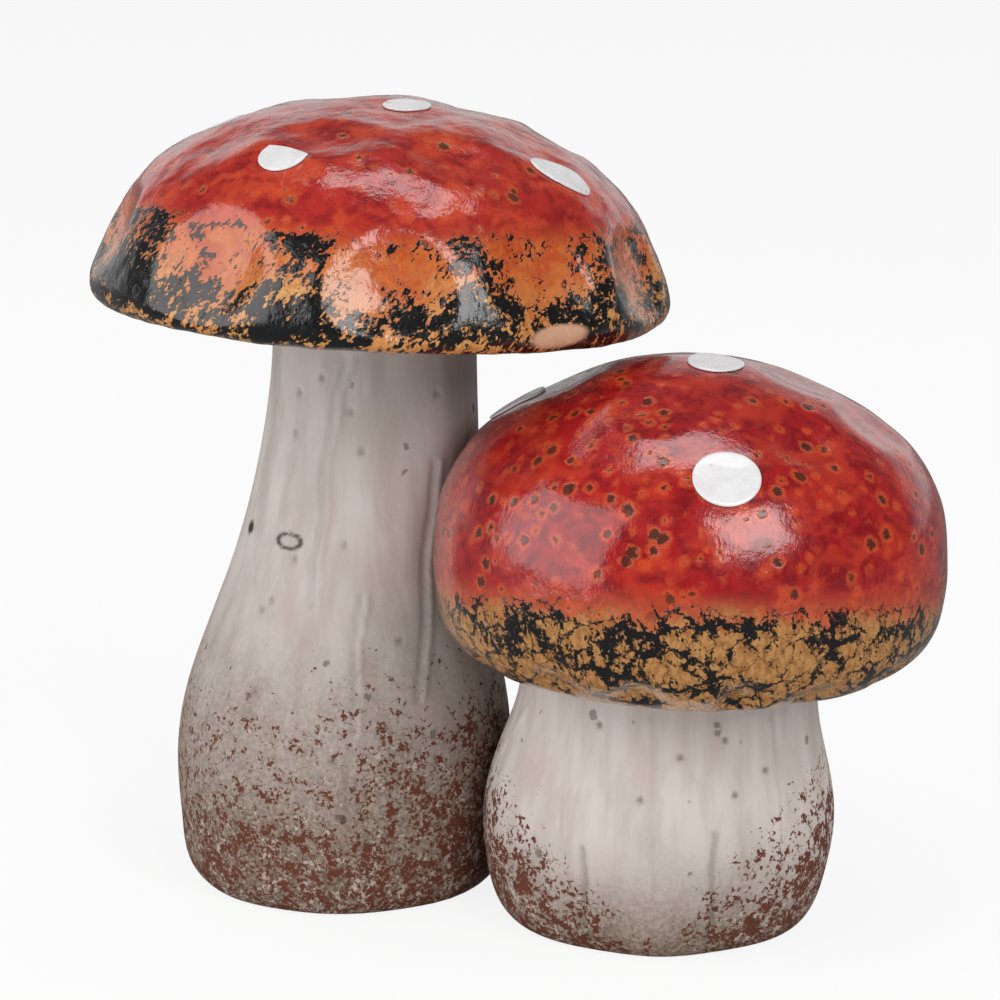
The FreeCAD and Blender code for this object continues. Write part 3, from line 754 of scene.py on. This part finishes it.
# Pressed places round the rim, as the frame has them: azimuth and elevation from the cap's heart
rimPressed = {
    "turns": ((-80, 5), (-35, 4), (3, 3), (37, 5), (69, 3), (104, 5), (140, 4), (176, 3), (212, 5), (246, 4)),
    "radius": 15 * mm,
}


def markPressed(piece, seat, settings):
    skin = places(piece)
    shares = np.zeros(len(skin))
    for azimuth, elevation in settings["turns"]:
        place, _ = skinFrom(piece, seat, azimuth, elevation)
        away = np.sqrt(((skin - np.array(place)) ** 2).sum(1)) / settings["radius"]
        shares = np.maximum(shares, faded(away, *markEdges["pressed"]))
    paintAttribute(piece, "pressed", shares)


markDepth = 6 * mm  # Keeps a mark off the far side of its piece


def markOval(piece, pixel, half):
    # How far each point of the skin lies from an oval's middle, as shares of the oval's half sizes
    place, normal = skinAt(piece, pixel)
    away = places(piece) - np.array(place)
    reaches = (*half, markDepth)
    return np.sqrt(sum((away @ np.array(axis) / reach) ** 2 for axis, reach in zip(axesOn(normal), reaches)))


# Where each kind of mark ends and over what width it fades, in shares of its size
markEdges = {"pressed": (1.3, 1.0), "peachPatch": (1.15, 0.25), "crease": (1.0, 1 / 1.4), "pit": (1.7, 1.0),
             "patch": (1.3, 0.4), "ring": (0.325, 0.25)}


def shadeAndScars(piece, marks):
    # Painted shade in the creases and pits of a stem, and the scars of the mould
    skin = places(piece)
    dark = np.zeros(len(skin))
    for line in marks["creases"]:
        for spot in lineAlong([skinAt(piece, pixel)[0] for pixel in line]):
            away = np.sqrt(((skin - np.array(spot)) ** 2).sum(1)) / marks["creaseReach"]
            dark = np.maximum(dark, faded(away, *markEdges["crease"]) * marks["creaseDark"])
    for pixel in marks["pits"]:
        pit = faded(markOval(piece, pixel, marks["pitHalf"]), *markEdges["pit"])
        dark = np.maximum(dark, pit * marks["pitDark"])
    for pixel, half in marks["patches"]:
        dark = np.maximum(dark, faded(markOval(piece, pixel, half), *markEdges["patch"]))
    for pixel, half in marks["rings"]:
        fromLine = np.abs(markOval(piece, pixel, half) - 1)
        dark = np.maximum(dark, faded(fromLine, *markEdges["ring"]))
    return dark


markPressed(tallCap, tallCapSeat, rimPressed)
peachPatchPlace, peachPatchHalf = (560, 336), (7.5 * mm, 2.4 * mm)  # A pale peach patch on the lip's glaze
paintAttribute(tallCap, "peachPatch", faded(markOval(tallCap, peachPatchPlace, peachPatchHalf), *markEdges["peachPatch"]))
paintAttribute(smallCap, "pressed", np.zeros(len(smallCap.data.vertices)))
paintAttribute(smallCap, "peachPatch", np.zeros(len(smallCap.data.vertices)))
# Painted shade in the creases and pits, with the mould's scars
paintAttribute(tallStem, "scarAndShade", shadeAndScars(tallStem, tallStemMarks))
paintAttribute(smallStem, "scarAndShade", shadeAndScars(smallStem, smallStemMarks))

tallGlaze = makeGlaze("tallGlaze", tallCapSeat, tallGlazeLook)
smallGlaze = makeGlaze("smallGlaze", smallCapSeat, smallGlazeLook)
tallWash = makeWhitewash("tallWash", tallWashLook)
smallWash = makeWhitewash("smallWash", smallWashLook)
slipMaterial = makeSlip()
enamel = makeEnamel()

castings = (
    (tallCap, "tall_cap", tallGlaze, "cap_glaze"), (smallCap, "small_cap", smallGlaze, "cap_glaze"),
    (tallStem, "tall_stem", tallWash, "stem_ceramic"), (smallStem, "small_stem", smallWash, "stem_ceramic"),
)
for piece, node, material, slot in castings:
    piece.data.materials.append(material)
    pick(piece)
    bpy.ops.object.shade_smooth()
    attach(piece, "root")
    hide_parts(node)

for node in ("stem_slip", "cap_slip", "tall_neck_slip", "small_neck_slip"):
    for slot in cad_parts[node].material_slots:
        slot.material = slipMaterial
print("castings finished")

# Enamel dabs: pixel of the picture or turn round the cap, size, turn of the dab
dabShape = {"thickness": 0.65 * mm, "drop": 4 * mm, "points": 56, "rings": 5, "ringsDepth": 0.8,
            "flattened": (1.1, 0.2, 1)}
tallDabs = {
    "front_left": {"pixel": (283, 156), "half": (5.8 * mm, 5.6 * mm), "turn": -4, "flat": 0.35},
    "front_right": {"pixel": (561, 175), "half": (8.0 * mm, 4.5 * mm), "turn": -54},
    "crown": {"pixel": (407, 106), "half": (5.8 * mm, 5.0 * mm), "turn": 0},
    "right": {"at": (128, 26), "half": (6.5 * mm, 5.4 * mm), "turn": 20},
    "back": {"at": (172, 30), "half": (6.9 * mm, 5.6 * mm), "turn": -10},
    "left": {"at": (242, 32), "half": (6.4 * mm, 5.0 * mm), "turn": 30},
}
smallDabs = {
    "front": {"pixel": (727, 478), "half": (7.6 * mm, 7.1 * mm), "turn": 10},
    "crown": {"pixel": (716, 362), "half": (7.4 * mm, 6.2 * mm), "turn": 0},
    "left": {"at": (256, 50), "half": (8.2 * mm, 7.0 * mm), "turn": 0},
    "right": {"at": (118, 36), "half": (8.4 * mm, 7.4 * mm), "turn": -20},
    "back": {"at": (182, 42), "half": (8.6 * mm, 7.6 * mm), "turn": 15},
}


def layDab(cap, seat, name, node, settings):
    if "pixel" in settings:
        place, normal = skinAt(cap, settings["pixel"])
    else:
        place, normal = skinFrom(cap, seat, *settings["at"])
    letGo()
    bpy.ops.mesh.primitive_circle_add(vertices=dabShape["points"], radius=1, fill_type="NGON")
    dab = bpy.context.object
    dab.name = name
    dab.data.name = name
    bpy.ops.object.mode_set(mode="EDIT")
    bpy.ops.mesh.select_all(action="SELECT")
    for ring in range(dabShape["rings"]):
        bpy.ops.mesh.inset(thickness=dabShape["ringsDepth"] / dabShape["rings"], use_boundary=True)
    bpy.ops.object.mode_set(mode="OBJECT")
    if "flat" in settings:
        choose(dab, "VERT", places(dab)[:, 1] > settings["flat"])
        bpy.ops.transform.resize(value=dabShape["flattened"], center_override=(0, settings["flat"], 0))
        bpy.ops.object.mode_set(mode="OBJECT")
    lie = Matrix(axesOn(normal)).transposed().to_4x4()
    spin = Matrix.Rotation(math.radians(settings["turn"]), 4, "Z")
    lie = Matrix.Translation(place + normal * dabShape["drop"]) @ lie @ spin
    dab.matrix_world = lie @ Matrix.Diagonal((*settings["half"], mm, 1))
    bpy.context.view_layer.update()
    finishWith(dab, "SHRINKWRAP", target=cap, wrap_method="PROJECT", use_project_z=True,
               use_negative_direction=True, use_positive_direction=False, project_limit=0)
    bpy.ops.object.transform_apply(location=True, rotation=True, scale=True)
    finishWith(dab, "SOLIDIFY", thickness=dabShape["thickness"], offset=1.0)
    finishWith(dab, "SUBSURF", levels=2, render_levels=2)
    bpy.ops.object.shade_smooth()
    dab.data.materials.append(enamel)
    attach(dab, "root")
    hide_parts(node)


dabbedCaps = (("tall", tallCap, tallCapSeat, tallDabs), ("small", smallCap, smallCapSeat, smallDabs))
for size, cap, seat, dabs in dabbedCaps:
    for label, settings in dabs.items():
        dabName = size + "Dab" + label.title().replace("_", "")
        layDab(cap, seat, dabName, f"{size}_cap_dab_{label}", settings)
print("dabs laid")

# Floor, surroundings and lamps
studio = {
    "floorSize": 12.0, "floorGrey": 0.86, "floorGlow": 0.86, "middle": Vector((0, 0, 90)) * mm,
    "surround": 0.48, "glossAround": 0.07, "glossBehind": 0.65, "glossFloor": 0.16,
    "lamps": {
        "leftWindow": {"azimuth": -66, "elevation": 24, "distance": 1.3, "size": (1.5, 1.3), "power": 10.6},
        "rightWindow": {"azimuth": 32, "elevation": 36, "distance": 1.3, "size": (0.74, 0.72), "power": 7.6},
        "ceiling": {"azimuth": 170, "elevation": 80, "distance": 1.5, "size": (0.9, 0.4), "power": 3.6},
    },
}


def layFloor(settings):
    letGo()
    bpy.ops.mesh.primitive_plane_add(size=settings["floorSize"], location=(0, 0, 0))
    floor = bpy.context.object
    floor.name = "floor"
    material, tree, shader, _ = newMaterial("paleFloor")
    shader.inputs["Base Color"].default_value = (*[settings["floorGrey"]] * 3, 1)
    shader.inputs["Roughness"].default_value = 0.9
    shader.inputs["Specular IOR Level"].default_value = 0.1
    seen = tree.nodes.new("ShaderNodeLightPath")
    glossy = seen.outputs["Is Glossy Ray"]
    toCamera = calc(tree, "MULTIPLY", seen.outputs["Is Camera Ray"], settings["floorGlow"])
    share = calc(tree, "MAXIMUM", toCamera, glossy)
    # White to the camera, and dim in what the glaze mirrors
    strength = calc(tree, "MULTIPLY_ADD", glossy, settings["glossFloor"] - 1, 1.0)
    glow = addNode(tree, "ShaderNodeEmission", {"Color": (1, 1, 1, 1), "Strength": strength})
    mixer = addNode(tree, "ShaderNodeMixShader", {0: share, 1: shader.outputs[0], 2: glow.outputs[0]})
    output = next(node for node in tree.nodes if node.type == "OUTPUT_MATERIAL")
    tree.links.new(mixer.outputs[0], output.inputs[0])
    floor.data.materials.append(material)


def setUpWorld(settings):
    world = bpy.data.worlds.new("studioWorld")
    bpy.context.scene.world = world
    world.use_nodes = True
    tree = world.node_tree
    tree.nodes.clear()
    seen = tree.nodes.new("ShaderNodeLightPath")
    shown = calc(tree, "MAXIMUM", seen.outputs["Is Camera Ray"], seen.outputs["Is Transmission Ray"])
    # Gloss mirrors a white backdrop low behind the ornament and a dim room elsewhere
    aim = addNode(tree, "ShaderNodeTexCoord").outputs["Generated"]
    parts = addNode(tree, "ShaderNodeSeparateXYZ", {"Vector": aim})
    behind = calc(tree, "SUBTRACT", parts.outputs["Y"], calc(tree, "MULTIPLY", parts.outputs["Z"], 0.8))
    mirrored = ramped(tree, behind, 0.2, 0.75, settings["glossAround"], settings["glossBehind"])
    lacking = calc(tree, "SUBTRACT", mirrored, settings["surround"])
    glossy = calc(tree, "MULTIPLY", seen.outputs["Is Glossy Ray"], lacking)
    strength = calc(tree, "ADD", glossy, settings["surround"])
    strength = calc(tree, "MAXIMUM", strength, shown)
    light = addNode(tree, "ShaderNodeBackground", {"Color": (1, 1, 1, 1), "Strength": strength})
    output = tree.nodes.new("ShaderNodeOutputWorld")
    tree.links.new(light.outputs[0], output.inputs[0])


def hangLamp(name, settings):
    away = directionOf(settings["azimuth"], settings["elevation"])
    place = studio["middle"] + away * settings["distance"]
    bpy.ops.object.light_add(type="AREA", location=place)
    lamp = bpy.context.object
    lamp.name = name
    lamp.rotation_euler = (-away).to_track_quat("-Z", "Y").to_euler()
    lamp.data.shape = "RECTANGLE"
    lamp.data.size, lamp.data.size_y = settings["size"]
    lamp.data.energy = settings["power"]


layFloor(studio)
setUpWorld(studio)
for lampName, lampSettings in studio["lamps"].items():
    hangLamp(lampName, lampSettings)
bpy.context.scene.view_settings.view_transform = "Standard"
print("studio set")
